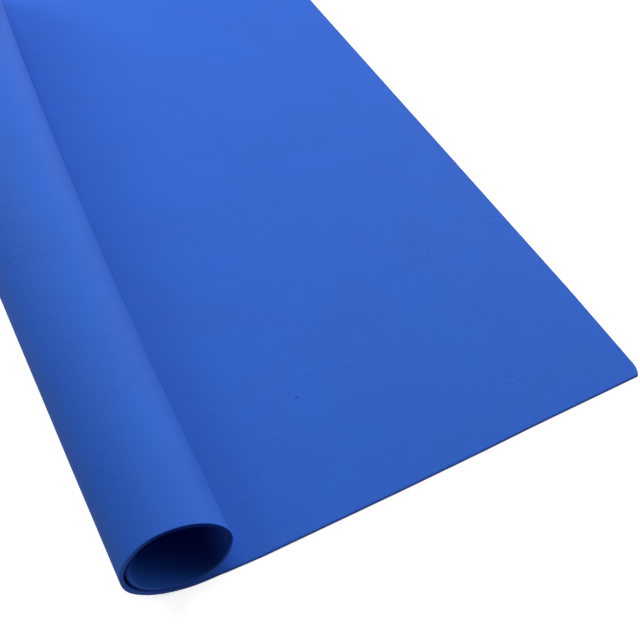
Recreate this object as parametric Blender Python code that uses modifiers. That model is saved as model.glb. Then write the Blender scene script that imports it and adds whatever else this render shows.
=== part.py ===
"""Craft foam sheet: one square sheet of soft foam that lies flat along its right side and is rolled over
on itself along its left side. The roll is a little wider at the far end and leans to the right.

Frame: +X across the sheet towards its flat edge, +Y along the roll away from its near end, +Z up.
The underside of the flat part is the floor, at Z = 0.
"""

import math

import bpy
import bmesh
import numpy as np

# The sheet as it is cut. Metres.
SHEET_WIDTH = 0.500
SHEET_LENGTH = 0.500
THICKNESS = 0.002

# The near corner of the flat edge is worn away by a sliver of this depth, over this length of the edge.
CORNER_WEAR = 0.003
CORNER_LENGTH = 0.011

# The roll's outer radius and the width that stays flat on the floor, at three places along the sheet.
ROLL_RADIUS_NEAR = 0.0271
ROLL_RADIUS_MIDDLE = 0.0311
ROLL_RADIUS_FAR = 0.0401
FLAT_WIDTH_NEAR = 0.2485
FLAT_WIDTH_MIDDLE = 0.2323
FLAT_WIDTH_FAR = 0.2063

# Between two layers: the space where they all but touch, and the wider space low on the outer side.
LAYER_GAP = 0.0006
CREVICE_GAP = 0.0020

# The cut ends run this much further along the roll for each metre that the roll reaches past lift-off.
END_SLOPE = 0.091

# Lengths of sheet wound past lift-off, in roll radii: the easing curve before the bend is full, one lap,
# where the sheet settles onto its own top, and where the wider space lies on the lap below.
LIFT_RUN = 1.68
LAP = 6.29
SETTLE_FROM = 5.75
SETTLE_TO = 7.75
CREVICE_FROM = 1.31
CREVICE_TO = 3.18

# How finely the sheet is divided: flat part, rolled part, along its length, and along the worn corner.
FLAT_COLUMNS = 8
ROLL_COLUMNS = 66
ROWS = 16
CORNER_ROWS = 3
CURVE_STEPS = 1200

# The curve is worked out past the free edge, by this share of the rolled width.
CURVE_SPARE = 0.2

# Edges that bend more than this, in degrees, are shaded sharp.
SHARP_ANGLE = 40.0

FOAM_COLOUR = (0.045, 0.171, 0.604, 1.0)
FOAM_ROUGHNESS = 0.75


def clear_scene():
    for thing in list(bpy.data.objects):
        bpy.data.objects.remove(thing, do_unlink=True)


def smooth(value, low, high):
    t = np.clip((value - low) / (high - low), 0.0, 1.0)
    return t * t * (3.0 - 2.0 * t)


def parabola(near, middle, far, along):
    """The parabola through the values at the sheet's near end, middle and far end."""
    t = along / SHEET_LENGTH
    return near + t * (4.0 * middle - 3.0 * near - far) + 2.0 * t * t * (near - 2.0 * middle + far)


def interpolate(at, known, points):
    return np.stack([np.interp(at, known, points[:, axis]) for axis in range(2)], axis=-1)


def free_curve(wound):
    """Outer face and inward normal, in radii, of a sheet whose bend eases in over LIFT_RUN, then stays full.

    The angle turned is the integral of the bend, and the point is the integral of the direction.
    """
    run = np.maximum(wound, 0.0)
    angle = np.where(run < LIFT_RUN, run ** 2 / (2.0 * LIFT_RUN), run - LIFT_RUN / 2.0)
    inward = np.stack([np.sin(angle), np.cos(angle)], axis=-1)
    heading = np.stack([-np.cos(angle), np.sin(angle)], axis=-1)
    step = wound[1] - wound[0]
    points = np.concatenate([[[0.0, 0.0]], np.cumsum((heading[1:] + heading[:-1]) / 2.0 * step, axis=0)])
    return points - interpolate(np.zeros(1), wound, points), inward


def section(radius, rolled_width):
    """Outer face of the rolled part at one station: points at even spacing from lift-off to the free edge.

    The sheet bends freely for nearly a lap, then settles onto a path parallel to the lap below it, a
    thickness and a gap further in. Each pass of the loop settles one more lap.
    """
    wound = np.linspace(-LAP / 2.0, (1.0 + CURVE_SPARE) * rolled_width / radius, CURVE_STEPS)
    free, inward = free_curve(wound)
    below = wound - LAP
    hollow = np.sin(np.pi * np.clip((below - CREVICE_FROM) / (CREVICE_TO - CREVICE_FROM), 0.0, 1.0)) ** 2
    space = (THICKNESS + LAYER_GAP + (CREVICE_GAP - LAYER_GAP) * hollow) / radius
    settled = smooth(wound, SETTLE_FROM, SETTLE_TO)[:, None]
    points = free
    for _ in range(max(1, int(wound[-1] / LAP))):
        parallel = interpolate(below, wound, points) + interpolate(below, wound, inward) * space[:, None]
        points = (1.0 - settled) * free + settled * parallel
        heading = np.gradient(points, axis=0)
        heading /= np.hypot(heading[:, 0], heading[:, 1])[:, None]
        inward = np.stack([heading[:, 1], -heading[:, 0]], axis=-1)
    points = points * radius
    travel = np.concatenate([[0.0], np.cumsum(np.hypot(*np.diff(points, axis=0).T))])
    travel -= np.interp(0.0, wound, travel)
    return interpolate(np.linspace(0.0, rolled_width, ROLL_COLUMNS + 1), travel, points)


def sheet_rows():
    """Distances along the sheet, closer together over the worn corner."""
    corner = np.linspace(0.0, CORNER_LENGTH, CORNER_ROWS + 1)
    rest = np.linspace(CORNER_LENGTH, SHEET_LENGTH, ROWS + 1)
    return np.concatenate([corner, rest[1:]])


def surface():
    """Points of the sheet's outer face, one row per station along it and one column per step across it."""
    rows = sheet_rows()
    radii = parabola(ROLL_RADIUS_NEAR, ROLL_RADIUS_MIDDLE, ROLL_RADIUS_FAR, rows)
    flats = parabola(FLAT_WIDTH_NEAR, FLAT_WIDTH_MIDDLE, FLAT_WIDTH_FAR, rows)
    grid = []
    for along, radius, flat in zip(rows, radii, flats):
        worn = CORNER_WEAR * (1.0 - min(along / CORNER_LENGTH, 1.0)) ** 2
        floor_x = np.linspace(-worn, -flat, FLAT_COLUMNS + 1)[:-1]
        floor = np.stack([floor_x, np.full(FLAT_COLUMNS, along), np.zeros(FLAT_COLUMNS)], axis=-1)
        curve = section(radius, SHEET_WIDTH - flat)
        wound = np.stack([curve[:, 0] - flat, along - END_SLOPE * curve[:, 0], curve[:, 1]], axis=-1)
        grid.append(np.concatenate([floor, wound]))
    return np.array(grid)


def foam_material():
    material = bpy.data.materials.new("blue_foam")
    material.use_nodes = True
    shader = material.node_tree.nodes["Principled BSDF"]
    shader.inputs["Base Color"].default_value = FOAM_COLOUR
    shader.inputs["Roughness"].default_value = FOAM_ROUGHNESS
    shader.inputs["Metallic"].default_value = 0.0
    return material


def foam_sheet(collection):
    """The whole sheet: a flat grid carried onto the rolled surface, then given its thickness inwards."""
    points = surface()
    row_count, column_count = points.shape[:2]
    lowest, highest = points.reshape(-1, 3).min(axis=0), points.reshape(-1, 3).max(axis=0)
    middle = np.array([(lowest[0] + highest[0]) / 2.0, (lowest[1] + highest[1]) / 2.0, 0.0])
    grid = bmesh.new()
    bmesh.ops.create_grid(grid, x_segments=column_count - 1, y_segments=row_count - 1, size=1.0)
    for vertex in grid.verts:
        column = round((1.0 - vertex.co.x) / 2.0 * (column_count - 1))
        row = round((1.0 + vertex.co.y) / 2.0 * (row_count - 1))
        vertex.co = points[row, column] - middle
    mesh = bpy.data.meshes.new("foam_sheet")
    grid.to_mesh(mesh)
    grid.free()
    mesh.shade_smooth()
    mesh.set_sharp_from_angle(angle=math.radians(SHARP_ANGLE))
    mesh.materials.append(foam_material())
    sheet = bpy.data.objects.new("foam_sheet", mesh)
    collection.objects.link(sheet)
    solid = sheet.modifiers.new("thickness", "SOLIDIFY")
    solid.thickness = THICKNESS
    solid.offset = 1.0
    solid.use_even_offset = True
    return sheet


def main():
    clear_scene()
    collection = bpy.data.collections.new("craft_foam_sheet")
    bpy.context.scene.collection.children.link(collection)
    foam_sheet(collection)


main()
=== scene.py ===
import math
import bpy
import numpy as np
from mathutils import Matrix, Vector


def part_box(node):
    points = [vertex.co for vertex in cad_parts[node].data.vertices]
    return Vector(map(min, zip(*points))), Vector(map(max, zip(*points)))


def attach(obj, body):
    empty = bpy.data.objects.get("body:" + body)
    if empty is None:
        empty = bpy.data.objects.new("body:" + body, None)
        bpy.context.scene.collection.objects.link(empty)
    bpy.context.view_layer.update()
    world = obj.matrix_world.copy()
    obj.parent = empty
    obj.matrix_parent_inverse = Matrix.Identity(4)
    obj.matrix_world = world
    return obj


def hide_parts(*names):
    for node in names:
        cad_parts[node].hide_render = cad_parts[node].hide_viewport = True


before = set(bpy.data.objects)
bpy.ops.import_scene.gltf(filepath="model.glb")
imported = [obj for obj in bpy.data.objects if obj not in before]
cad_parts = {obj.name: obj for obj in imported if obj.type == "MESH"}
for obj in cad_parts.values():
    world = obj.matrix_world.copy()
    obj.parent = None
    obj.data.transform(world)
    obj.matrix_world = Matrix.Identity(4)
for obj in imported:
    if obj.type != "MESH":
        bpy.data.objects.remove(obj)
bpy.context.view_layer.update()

# The foam sheet. Lengths are in metres; "wound" is a length of sheet past lift-off, in roll radii.
sheet = {
    "width": 0.500,               # across the roll, as cut
    "length": 0.500,              # along the roll, as cut
    "thickness": 0.002,
    "rollRadius": (0.0271, 0.0311, 0.0401),   # outer, at the near end, the middle and the far end
    "flatWidth": (0.2485, 0.2323, 0.2063),    # on the table, at the same three places
    "layerGap": 0.00034,          # where two layers all but touch
    "creviceGap": 0.0016,         # low on the outer side of the roll
    "endSlope": 0.091,            # how far the cut ends run on along the roll, for each metre past lift-off
    "liftRun": 1.68,              # wound before the bend is full
    "lap": 6.29,                  # wound in one turn
    "settle": (5.75, 7.75),       # wound where the sheet comes down onto its own top
    "crevice": (1.31, 3.18),      # wound where the wider gap lies on the lap below
    "curveReach": 0.75,           # the share of the width that the curve is worked out for
    "curveSteps": 1500,
    "cornerWear": 0.0028,         # the near corner of the flat edge is worn round
    "cornerLength": 0.009,
    "cornerPower": 2.5,
    "cornerEase": 0.0011,         # and the edge runs in a little before it
    "easeLength": 0.065,
    # The near end is cut a little unevenly: it stands out by the second figure at the first distance across.
    "endLine": ((0.000, 0.0005), (0.070, 0.0006), (0.100, 0.0010), (0.150, 0.0012), (0.230, 0.0008),
                (0.250, -0.0001), (0.265, 0.0007), (0.293, 0.0009), (0.307, 0.0018), (0.345, 0.0002),
                (0.386, 0.0009), (0.402, -0.0001), (0.430, 0.0000)),
    "endLength": 0.10,            # this dies away over so much of the sheet's length
    "edgeRound": 0.00055,         # the knife leaves the cut edge a little soft
    "edgeHollow": 0.00008,        # and its middle a little hollow
    "roundPoints": 4,
    "ripple": 0.00012,            # faint unevenness of the whole sheet
    # Its waves: radians per metre across and along, and where each one starts.
    "waves": ((41.0, 13.0, 0.4), (-23.0, 57.0, 1.9), (76.0, -35.0, 3.1), (19.0, 96.0, 4.4)),
    "flatColumns": 84,
    "rollColumns": 236,
    "rows": 96,
    "cornerRows": 10,
    # The cut edge on the UV map: how high its strip lies, and how it is shrunk along and stretched across.
    "stripHeight": 0.6,
    "stripShrink": 2.2,
    "stripStretch": 4.0,
}


# Surface of the sheet

def smooth(value, low, high):
    # The smooth step 3t^2 - 2t^3 from 0 at low to 1 at high.
    t = np.clip((value - low) / (high - low), 0.0, 1.0)
    return t * t * (3.0 - 2.0 * t)


def parabola(values, t):
    # The parabola through three values at t = 0, 0.5 and 1.
    near, middle, far = values
    return near + t * (4.0 * middle - 3.0 * near - far) + 2.0 * t * t * (near - 2.0 * middle + far)


def pick(at, known, points):
    # Where a plane curve is at other places along it, in straight lines between its known points.
    return np.stack([np.interp(at, known, points[:, axis]) for axis in range(2)], axis=-1)


def rolledSection(radius, at):
    # Points (x, z) of the outer face at the true lengths `at` past lift-off, for one station along the roll.
    # angle(s) = s^2 / (2 liftRun) up to liftRun, then s - liftRun / 2; the point is the integral of
    # (-cos(angle), sin(angle)). After settle[0] it blends to the path parallel to the lap below.
    lap, liftRun = sheet["lap"], sheet["liftRun"]
    wound = np.linspace(-lap / 2.0, sheet["curveReach"] * sheet["width"] / radius, sheet["curveSteps"])
    run = np.maximum(wound, 0.0)
    angle = np.where(run < liftRun, run ** 2 / (2.0 * liftRun), run - liftRun / 2.0)
    inward = np.stack([np.sin(angle), np.cos(angle)], axis=-1)
    heading = np.stack([-np.cos(angle), np.sin(angle)], axis=-1)
    step = wound[1] - wound[0]
    free = np.concatenate([[[0.0, 0.0]], np.cumsum((heading[1:] + heading[:-1]) / 2.0 * step, axis=0)])
    free = free - pick(np.zeros(1), wound, free)
    below = wound - lap
    low, high = sheet["crevice"]
    hollow = np.sin(np.pi * np.clip((below - low) / (high - low), 0.0, 1.0)) ** 2
    gap = sheet["layerGap"] + (sheet["creviceGap"] - sheet["layerGap"]) * hollow
    space = ((sheet["thickness"] + gap) / radius)[:, None]
    settled = smooth(wound, *sheet["settle"])[:, None]
    parallel = pick(below, wound, free) + pick(below, wound, inward) * space
    points = ((1.0 - settled) * free + settled * parallel) * radius
    travel = np.concatenate([[0.0], np.cumsum(np.hypot(*np.diff(points, axis=0).T))])
    travel -= np.interp(0.0, wound, travel)
    return pick(at, travel, points)


def stations(low, high, count):
    # Even steps, with one short step at each end that keeps the shading of the edge off the face.
    short = sheet["edgeRound"]
    return np.concatenate([[low], np.linspace(low + short, high - short, count), [high]])


def sheetGrid():
    # Distance across (from the flat edge to the free edge in the roll) and along, one row per station along.
    inset = sheet["edgeRound"]
    corner = np.linspace(inset * 2.0, sheet["cornerLength"], sheet["cornerRows"])
    rest = stations(sheet["cornerLength"], sheet["length"] - inset, sheet["rows"])[2:]
    along = np.concatenate([[inset], corner, rest])
    flat = parabola(sheet["flatWidth"], along / sheet["length"])[:, None]
    edge = np.array([inset, 2.0 * inset])
    onTable = edge[1] + (flat - edge[1]) * np.linspace(0.0, 1.0, sheet["flatColumns"] + 1)[1:-1]
    inRoll = flat + (sheet["width"] - inset - flat) * stations(0.0, 1.0, sheet["rollColumns"])[None, 1:]
    across = np.concatenate([np.repeat(edge[None, :], len(along), axis=0), onTable, flat, inRoll], axis=1)
    return across, np.repeat(along[:, None], across.shape[1], axis=1)


def wornAway(along):
    # Depth taken off the flat edge: cornerWear (1 - v / cornerLength)^cornerPower, and
    # cornerEase (1 - v / easeLength), each until it comes to nothing.
    corner = np.clip(1.0 - along / sheet["cornerLength"], 0.0, 1.0) ** sheet["cornerPower"]
    ease = np.clip(1.0 - along / sheet["easeLength"], 0.0, 1.0)
    return sheet["cornerWear"] * corner + sheet["cornerEase"] * ease


def outerFace(across, along):
    # Table part: (-across, along, 0). Rolled part: the section at that station, set behind the table part,
    # and slid along the roll by endSlope times its reach past lift-off.
    flat = parabola(sheet["flatWidth"], along[:, :1] / sheet["length"])
    radius = parabola(sheet["rollRadius"], along[:, 0] / sheet["length"])
    past = np.maximum(across - flat, 0.0)
    curve = np.stack([rolledSection(r, at) for r, at in zip(radius, past)])
    rolled = across > flat
    x = np.where(rolled, curve[..., 0] - flat, -across - wornAway(along) * (1.0 - across / flat))
    uneven = np.interp(across, *np.array(sheet["endLine"]).T)
    uneven = uneven * np.clip(1.0 - along / sheet["endLength"], 0.0, 1.0) ** 2
    y = along - uneven - np.where(rolled, sheet["endSlope"] * curve[..., 0], 0.0)
    z = np.where(rolled, curve[..., 1], 0.0)
    return np.stack([x, y, z], axis=-1)


def ripples(across, along):
    # Mean of the long waves over the flat sheet, brought between 0 and 1.
    total = sum(np.sin(a * across + b * along + c) for a, b, c in sheet["waves"])
    return 0.5 + total / (2.0 * len(sheet["waves"]))


def unit(vectors):
    # The same directions at length 1.
    return vectors / np.linalg.norm(vectors, axis=-1, keepdims=True)


def borderOf(grid):
    # The values of a grid round its border, once round.
    return np.concatenate([grid[0, :-1], grid[:-1, -1], grid[-1, :0:-1], grid[:0:-1, 0]])


def outwardOf(outer, down):
    # Away from each edge in the sheet's own plane; at a corner the two are joined as a mitre.
    towards = unit(np.gradient(outer, axis=1))
    onward = unit(np.gradient(outer, axis=0))
    endways, sideways = np.zeros_like(outer), np.zeros_like(outer)
    endways[0] = unit(np.cross(towards[0], down[0]))
    endways[-1] = unit(np.cross(down[-1], towards[-1]))
    sideways[:, 0] = unit(np.cross(down[:, 0], onward[:, 0]))
    sideways[:, -1] = unit(np.cross(onward[:, -1], down[:, -1]))
    return (endways + sideways) / (1.0 + np.sum(endways * sideways, axis=-1, keepdims=True))


def edgeProfile():
    # Outward reach and height (0 to 1) of the cut edge: a quarter round, a slightly hollow cut, and a
    # quarter round.
    turn = np.linspace(0.0, np.pi / 2.0, sheet["roundPoints"])
    soft = sheet["edgeRound"]
    reach = soft * np.sin(turn)
    height = soft * (1.0 - np.cos(turn)) / sheet["thickness"]
    reach = np.concatenate([reach, [soft - sheet["edgeHollow"]], reach[::-1]])
    return reach, np.concatenate([height, [0.5], 1.0 - height[::-1]])


def gridFaces(rowCount, columnCount, first):
    # One face for each cell of a grid whose points are numbered row by row from `first`.
    corner = (np.arange(rowCount - 1)[:, None] * columnCount + np.arange(columnCount - 1)).ravel() + first
    return np.stack([corner, corner + 1, corner + columnCount + 1, corner + columnCount], axis=-1)


def sheetFaces(rowCount, columnCount, ringCount):
    # The points are the outer grid, the inner grid, then the rings that lead round the cut edge between them.
    gridSize = rowCount * columnCount
    border = borderOf(np.arange(gridSize).reshape(rowCount, columnCount))
    rings = 2 * gridSize + np.arange(ringCount * len(border)).reshape(ringCount, len(border))
    rings = np.concatenate([[border], rings, [border + gridSize]])
    low, high = rings[:-1], rings[1:]
    rim = np.stack([low, high, np.roll(high, -1, axis=1), np.roll(low, -1, axis=1)], axis=-1).reshape(-1, 4)
    return gridFaces(rowCount, columnCount, 0), gridFaces(rowCount, columnCount, gridSize)[:, ::-1], rim


def sheetMap(across, along, under, top, height):
    # UV in metres of flat sheet: the underside at 0 to 0.5, the top beside it, the cut edge as a strip above.
    flatMap = np.stack([across.ravel(), along.ravel()], axis=-1)
    around = len(borderOf(across))
    travelled = np.arange(around + 1) * 2.0 * (sheet["width"] + sheet["length"]) / around
    raised = sheet["stripHeight"] + height * sheet["thickness"] * sheet["stripStretch"]
    strip = np.stack(np.meshgrid(travelled / sheet["stripShrink"], raised), axis=-1)
    lowStart, highStart = strip[:-1, :-1], strip[1:, :-1]
    lowEnd, highEnd = strip[:-1, 1:], strip[1:, 1:]
    rimMap = np.stack([lowStart, highStart, highEnd, lowEnd], axis=2).reshape(-1, 2)
    topMap = flatMap[top.ravel() - across.size] + [sheet["width"], 0.0]
    return np.concatenate([flatMap[under.ravel()], topMap, rimMap])


def buildSheet():
    across, along = sheetGrid()
    outer = outerFace(across, along)
    down = unit(np.cross(np.gradient(outer, axis=1), np.gradient(outer, axis=0)))
    outer = outer - down * (sheet["ripple"] * ripples(across, along))[..., None]
    inner = outer - down * sheet["thickness"]
    reach, height = edgeProfile()
    rings = (borderOf(outer)[None] + borderOf(outwardOf(outer, down))[None] * reach[1:-1, None, None]
             + borderOf(-down)[None] * sheet["thickness"] * height[1:-1, None, None])
    points = np.concatenate([outer.reshape(-1, 3), inner.reshape(-1, 3), rings.reshape(-1, 3)])
    under, top, rim = sheetFaces(*across.shape, len(rings))
    faces = np.concatenate([under, top, rim])
    uv = sheetMap(across, along, under, top, height)

    # How far each point is wound past lift-off. The painted shade on the cut edge follows it.
    flat = parabola(sheet["flatWidth"], along / sheet["length"])
    wound = np.maximum(across - flat, 0.0) / parabola(sheet["rollRadius"], along / sheet["length"])
    wound = np.concatenate([wound.ravel(), wound.ravel(), np.tile(borderOf(wound), len(rings))])

    # Centred on the solid's box, with the flat part's underside on the table.
    lowest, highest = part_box("foam_sheet")
    shift = np.array([(highest.x + lowest.x) / 2.0, (highest.y + lowest.y) / 2.0, 0.0])
    shift[:2] -= (points[:, :2].max(axis=0) + points[:, :2].min(axis=0)) / 2.0
    mesh = bpy.data.meshes.new("foamSheet")
    mesh.from_pydata((points + shift).tolist(), [], faces.tolist())
    mesh.uv_layers.new(name="flatSheet").uv.foreach_set("vector", uv.astype(np.float32).ravel())
    mesh.attributes.new("wound", "FLOAT", "POINT").data.foreach_set("value", wound.astype(np.float32))
    slots = np.concatenate([np.zeros(len(under) + len(top), np.int32), np.ones(len(rim), np.int32)])
    mesh.polygons.foreach_set("material_index", slots)
    mesh.shade_smooth()
    mesh.update()
    print("sheet:", len(points), "points,", len(faces), "faces")
    piece = bpy.data.objects.new("foamSheet", mesh)
    bpy.context.scene.collection.objects.link(piece)
    liftOff = Vector(shift) - Vector((sheet["flatWidth"][0], 0.0, 0.0))
    return piece, liftOff


# Finishes

class Wire:
    # A shader socket that takes part in sums: mottle * 0.2 + 1 adds the Math nodes.
    def __init__(self, finish, socket):
        self.finish = finish
        self.socket = socket

    def sum(self, operation, first, second):
        return self.finish.add("ShaderNodeMath", {"operation": operation}, {0: first, 1: second})

    def __add__(self, other):
        return self.sum("ADD", self, other)

    def __sub__(self, other):
        return self.sum("SUBTRACT", self, other)

    def __rsub__(self, other):
        return self.sum("SUBTRACT", other, self)

    def __mul__(self, other):
        return self.sum("MULTIPLY", self, other)

    def __truediv__(self, other):
        return self.sum("DIVIDE", self, other)

    def __rtruediv__(self, other):
        return self.sum("DIVIDE", other, self)

    def __lt__(self, other):
        return self.sum("LESS_THAN", self, other)

    def __abs__(self):
        return self.sum("ABSOLUTE", self, 0.0)

    __radd__ = __add__
    __rmul__ = __mul__


class Finish:
    # One material. add() takes a node's type, its settings, and the values or links of its sockets.
    def __init__(self, name):
        self.material = bpy.data.materials.new(name)
        self.material.use_nodes = True
        self.tree = self.material.node_tree
        self.shader = self.tree.nodes["Principled BSDF"]

    def add(self, kind, settings=None, sockets=None, out=0):
        node = self.tree.nodes.new(kind)
        for name, value in (settings or {}).items():
            setattr(node, name, value)
        self.plug(node, sockets or {})
        return Wire(self, node.outputs[out])

    def plug(self, node, sockets):
        for name, value in sockets.items():
            if isinstance(value, Wire):
                self.tree.links.new(value.socket, node.inputs[name])
            else:
                node.inputs[name].default_value = value

    def mix(self, amount, first, second):
        # Of the Mix node's sockets, inputs 6 and 7 and output 2 are the colours.
        first, second = [c if isinstance(c, Wire) else (*c, 1.0) for c in (first, second)]
        return self.add("ShaderNodeMix", {"data_type": "RGBA"}, {0: amount, 6: first, 7: second}, out=2)

    def fade(self, value, low, high):
        return self.add("ShaderNodeMapRange", {"interpolation_type": "SMOOTHSTEP"},
                        {"Value": value, "From Min": low, "From Max": high})

    def noise(self, where, size, detail=2.0, rough=0.5):
        return self.add("ShaderNodeTexNoise", None,
                        {"Vector": where, "Scale": 1.0 / size, "Detail": detail, "Roughness": rough})

    def bump(self, relief):
        # The relief is in millimetres.
        return self.add("ShaderNodeBump", None, {"Distance": 0.001, "Strength": 1.0, "Height": relief})


# The foam's skin. Sizes are in metres, depths in millimetres. A fade runs from 0 at its first figure to 1 at
# its second.
foam = {
    "blue": (0.0136, 0.0995, 0.5080),
    "paleBlue": (0.0165, 0.1075, 0.5300),
    "deepBlue": (0.0120, 0.0925, 0.4830),
    # A dark blue painted into pits, nicks and creases as the shade in their hollows.
    "recessShadeBlue": (0.0010, 0.0220, 0.2300),
    "roughness": 0.75,
    "specular": 0.24,
    "mottleSize": 0.040,
    "mottleFade": (0.35, 0.65),
    "mottleRough": 0.12,          # how much the roughness follows the mottle
    "grainSize": 0.0016,
    "grainFade": (0.40, 0.75),
    "grainTone": 0.5,
    "grainRough": 0.10,           # and the grain
    "grainDepth": 0.070,
    "cellSize": 0.00048,          # the skin's fine closed cells
    "cellDepth": 0.012,
    "creaseSize": 0.0060,         # short fine creases, more in some patches than others
    "creaseWidth": 0.085,
    "creaseDepth": 0.065,
    # How much painted shade darkens the creases.
    "creaseShadeShare": 0.06,
    "creaseBreak": 0.0036,        # size of the pattern that breaks them up
    "dentDepth": 0.060,           # and shallow dents among them
    "patchSize": 0.024,
    "patchFade": (0.46, 0.62),
    "pitSpacing": 0.021,
    "pitRadius": 0.00055,
    "pitRange": 0.8,              # the smallest pit is smaller than pitRadius by this share
    "pitShare": 0.45,
    "pitRagged": 0.7,
    "pitFade": (1.0, 0.35),
    "pitDepth": 0.25,
    # Nicks in the skin: place on the flat sheet, radius, and how strong.
    "nicks": ((0.6728, 0.0739, 0.00080, 1.0),
              (0.7205, 0.0775, 0.00070, 0.35),
              (0.3735, 0.1160, 0.00075, 0.45)),
    "nickRagged": 0.9,
    "nickFade": (1.0, 0.3),
}


def foamSkin():
    finish = Finish("foamSkin")
    where = finish.add("ShaderNodeUVMap", {"uv_map": "flatSheet"})
    mottle = finish.noise(where, foam["mottleSize"], detail=4.0, rough=0.55)
    grain = finish.noise(where, foam["grainSize"], detail=3.0, rough=0.6)
    cells = finish.add("ShaderNodeTexVoronoi", None, {"Vector": where, "Scale": 1.0 / foam["cellSize"]})

    # Sparse pits: one point in each cell of a coarse pattern, some left out, each of its own size.
    spots = {"Vector": where, "Scale": 1.0 / foam["pitSpacing"]}
    away = finish.add("ShaderNodeTexVoronoi", None, spots)
    lots = finish.add("ShaderNodeTexVoronoi", None, spots, out="Color")
    chance = finish.add("ShaderNodeSeparateColor", None, {"Color": lots}, out="Red")
    size = finish.add("ShaderNodeSeparateColor", None, {"Color": lots}, out="Green")
    size = size * foam["pitRange"] + (1.0 - foam["pitRange"])
    ragged = away * foam["pitSpacing"] / foam["pitRadius"] + (grain - 0.5) * foam["pitRagged"]
    pits = (chance < foam["pitShare"]) * finish.fade(ragged / size, *foam["pitFade"])
    for across, along, radius, strength in foam["nicks"]:
        reach = finish.add("ShaderNodeVectorMath", {"operation": "DISTANCE"},
                           {0: where, 1: (across, along, 0.0)}, out="Value")
        ragged = reach / radius + (grain - 0.5) * foam["nickRagged"]
        nick = finish.fade(ragged, *foam["nickFade"]) * strength
        pits = finish.add("ShaderNodeMath", {"operation": "MAXIMUM"}, {0: pits, 1: nick})

    # Creases lie where one noise crosses its middle, in patches, and a finer noise breaks them up.
    bend = finish.noise(where, foam["creaseSize"], detail=1.0)
    patch = finish.fade(finish.noise(where, foam["patchSize"]), *foam["patchFade"])
    short = finish.fade(finish.noise(where, foam["creaseBreak"], detail=0.0), *foam["patchFade"])
    creases = finish.fade(abs(bend - 0.5), foam["creaseWidth"], 0.0) * patch * short

    tone = finish.mix(finish.fade(mottle, *foam["mottleFade"]), foam["deepBlue"], foam["blue"])
    tone = finish.mix(finish.fade(grain, *foam["grainFade"]) * foam["grainTone"], tone, foam["paleBlue"])
    # Painted shade: the creases, pits and nicks are darkened as shade in their hollows; the bump below gives
    # their depth.
    tone = finish.mix(creases * foam["creaseShadeShare"], tone, foam["recessShadeBlue"])
    tone = finish.mix(pits, tone, foam["recessShadeBlue"])
    unevenness = (mottle - 0.5) * foam["mottleRough"] + (grain - 0.5) * foam["grainRough"]
    relief = grain * foam["grainDepth"] + cells * foam["cellDepth"] - creases * foam["creaseDepth"]
    relief = relief - pits * foam["pitDepth"] - bend * patch * foam["dentDepth"]
    finish.plug(finish.shader, {
        "Base Color": tone,
        "Roughness": foam["roughness"] + unevenness,
        "Specular IOR Level": foam["specular"],
        "Normal": finish.bump(relief),
    })
    return finish.material


# The cut edge. Sizes are in metres, depths in millimetres, and the three deep figures, which place the
# painted shade on the rolled part's cut edge, are lengths of sheet past lift-off, in roll radii.
cut = {
    "blue": (0.0460, 0.1320, 0.5900),
    "rimShadeBlue": (0.0020, 0.0220, 0.2100),    # painted shade, darker over the top of the roll
    "deepFrom": (2.9, 3.9),
    "deepTo": (6.4, 5.4),
    "deepAgain": (8.3, 9.1),
    # A dark blue painted into the open cells as the shade in their hollows, also mixed in by the knife
    # streaks' own tone.
    "cellShadeAndStreakBlue": (0.0015, 0.0150, 0.1400),
    "cellSize": 0.00032,
    "cellFade": (0.55, 0.15),
    # How much painted shade darkens the open cells.
    "cellShadeShare": 0.35,
    "cellDepth": 0.06,
    "streakSize": 0.0011,
    "streakTone": 0.2,
    "streakRough": 0.1,
    "roughness": 0.85,
    "specular": 0.05,
}


def cutEdge():
    # The knife opens the cells, so the cut is rougher than the skin.
    finish = Finish("cutEdge")
    where = finish.add("ShaderNodeTexCoord", out="Object")
    wound = finish.add("ShaderNodeAttribute", {"attribute_name": "wound"}, out="Fac")
    cells = finish.add("ShaderNodeTexVoronoi", None, {"Vector": where, "Scale": 1.0 / cut["cellSize"]})
    streaks = finish.noise(where, cut["streakSize"], detail=3.0)
    hollow = finish.fade(cells, *cut["cellFade"])
    # Painted shade: the cut edge is darker over the top of the roll and again further into the roll, by how
    # far it is wound.
    rimShadeMask = finish.fade(wound, *cut["deepFrom"]) * finish.fade(wound, *cut["deepTo"])
    rimShadeMask = rimShadeMask + finish.fade(wound, *cut["deepAgain"])
    tone = finish.mix(rimShadeMask, cut["blue"], cut["rimShadeBlue"])
    # Painted shade in the open cells' hollows, with the knife streaks' own tone.
    tone = finish.mix(hollow * cut["cellShadeShare"] + (streaks - 0.5) * cut["streakTone"], tone, cut["cellShadeAndStreakBlue"])
    finish.plug(finish.shader, {
        "Base Color": tone,
        "Roughness": cut["roughness"] + (streaks - 0.5) * cut["streakRough"],
        "Specular IOR Level": cut["specular"],
        "Normal": finish.bump((streaks - hollow) * cut["cellDepth"]),
    })
    return finish.material


# Studio

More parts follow.
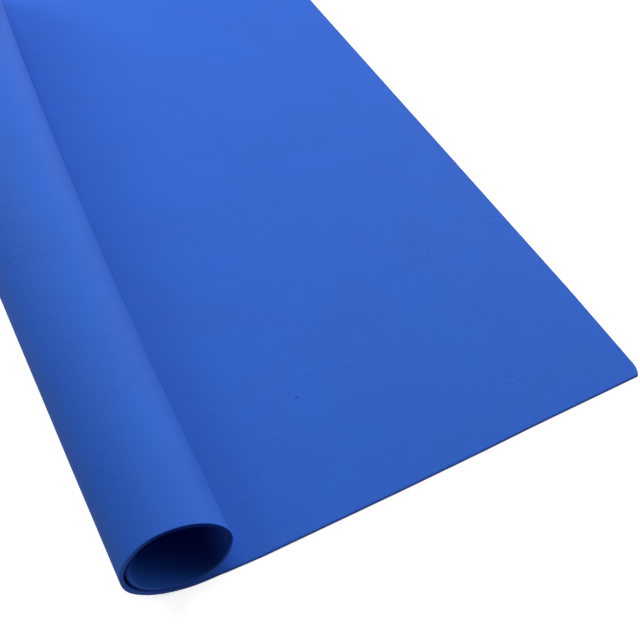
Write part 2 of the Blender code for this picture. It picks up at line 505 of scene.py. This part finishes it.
studio = {
    "floorWhite": (0.80, 0.80, 0.80),
    "floorSize": 12.0,
    # Lifts the table to white for the camera alone, by so much near and far. It lights nothing.
    "glow": (0.78, 1.0),
    "glowRange": (0.5, 1.8),
    "glowHeight": 0.00002,
    "backdrop": 1.0,              # seen past the table only; it lights nothing either
    "lampDistance": 1.6,
    # Round lamps: name, azimuth from +Y towards +X, elevation, apparent width in degrees, brightness.
    "lamps": (
        ("highBack", 0, 68, 24, 0.47),
        ("highFrontRight", 120, 68, 24, 0.15),
        ("back", 0, 30, 20, 0.25),
        ("backLeft", -30, 30, 20, 0.35),
        ("midBackLeft", -36, 48, 22, 0.14),
        ("lowBackRight", 60, 14, 18, 0.66),
        ("frontRight", 120, 30, 20, 0.11),
        ("front", 144, 48, 22, 0.05),
    ),
}


def tableTop(name, height):
    # A level square, as wide as floorSize, under the middle of the sheet.
    half = studio["floorSize"] / 2.0
    mesh = bpy.data.meshes.new(name)
    corners = [(-half, -half, height), (half, -half, height), (half, half, height), (-half, half, height)]
    mesh.from_pydata(corners, [], [(0, 1, 2, 3)])
    top = bpy.data.objects.new(name, mesh)
    bpy.context.scene.collection.objects.link(top)
    return top


def buildFloor():
    floor = tableTop("floor", 0.0)
    paper = Finish("floorPaper")
    paper.plug(paper.shader, {"Base Color": (*studio["floorWhite"], 1.0), "Roughness": 1.0,
                              "Specular IOR Level": 0.0})
    floor.data.materials.append(paper.material)

    # A clear film over the table that only adds light to what the camera sees of it.
    film = tableTop("floorGlow", studio["glowHeight"])
    glow = Finish("floorGlow")
    clear = glow.add("ShaderNodeBsdfTransparent")
    where = glow.add("ShaderNodeTexCoord", out="Object")
    away = glow.add("ShaderNodeVectorMath", {"operation": "LENGTH"}, {0: where}, out="Value")
    near, far = studio["glow"]
    shine = glow.mix(glow.fade(away, *studio["glowRange"]), (near, near, near), (far, far, far))
    shine = glow.add("ShaderNodeEmission", None, {"Color": shine})
    both = glow.add("ShaderNodeAddShader", None, {0: clear, 1: shine})
    glow.plug(glow.tree.nodes["Material Output"], {"Surface": both})
    film.data.materials.append(glow.material)
    for ray in ("diffuse", "glossy", "transmission", "volume_scatter", "shadow"):
        setattr(film, "visible_" + ray, False)


def buildLights():
    world = bpy.data.worlds.new("backdrop")
    world.use_nodes = True
    sky = world.node_tree.nodes["Background"]
    sky.inputs["Color"].default_value = (1.0, 1.0, 1.0, 1.0)
    sky.inputs["Strength"].default_value = studio["backdrop"]
    world.cycles_visibility.diffuse = False
    world.cycles_visibility.glossy = False
    bpy.context.scene.world = world

    # A lamp's power grows with the square of its distance, so lampDistance doesn't change how bright it is.
    far = studio["lampDistance"]
    for name, azimuth, elevation, spread, brightness in studio["lamps"]:
        turn, rise = math.radians(azimuth), math.radians(elevation)
        towards = Vector((math.sin(turn) * math.cos(rise), math.cos(turn) * math.cos(rise), math.sin(rise)))
        lamp = bpy.data.lights.new(name, "AREA")
        lamp.shape = "DISK"
        lamp.size = 2.0 * far * math.tan(math.radians(spread / 2.0))
        lamp.energy = (math.pi * far) ** 2 * brightness
        light = bpy.data.objects.new(name, lamp)
        light.location = towards * far
        light.rotation_euler = towards.to_track_quat("Z", "Y").to_euler()
        light.visible_camera = False
        bpy.context.scene.collection.objects.link(light)


# Where the photograph was taken from: fitted to the edges of the sheet, measured from where the near end
# of the sheet leaves the table.
camera = {
    "focal": 65.14,               # millimetres
    "sensor": 36.0,               # millimetres
    "yaw": 28.37,                 # turned from +Y towards +X
    "pitch": 50.67,               # looking down
    "offset": (-0.0830, -0.2466, 0.5030),
    "clipStart": 0.01,
}


def buildCamera(liftOff):
    lens = bpy.data.cameras.new("photo")
    lens.sensor_width = camera["sensor"]
    lens.lens = camera["focal"]
    lens.clip_start = camera["clipStart"]
    view = bpy.data.objects.new("photo", lens)
    view.location = liftOff + Vector(camera["offset"])
    view.rotation_euler = (math.radians(90.0 - camera["pitch"]), 0.0, -math.radians(camera["yaw"]))
    bpy.context.scene.collection.objects.link(view)
    bpy.context.scene.camera = view


foamSheet, liftOff = buildSheet()
foamSheet.data.materials.append(foamSkin())
foamSheet.data.materials.append(cutEdge())
print("finishes: foam skin, cut edge")
buildFloor()
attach(foamSheet, "root")
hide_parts("foam_sheet")
buildLights()
buildCamera(liftOff)
bpy.context.scene.view_settings.view_transform = "Standard"
print("studio: floor, lamps, camera")
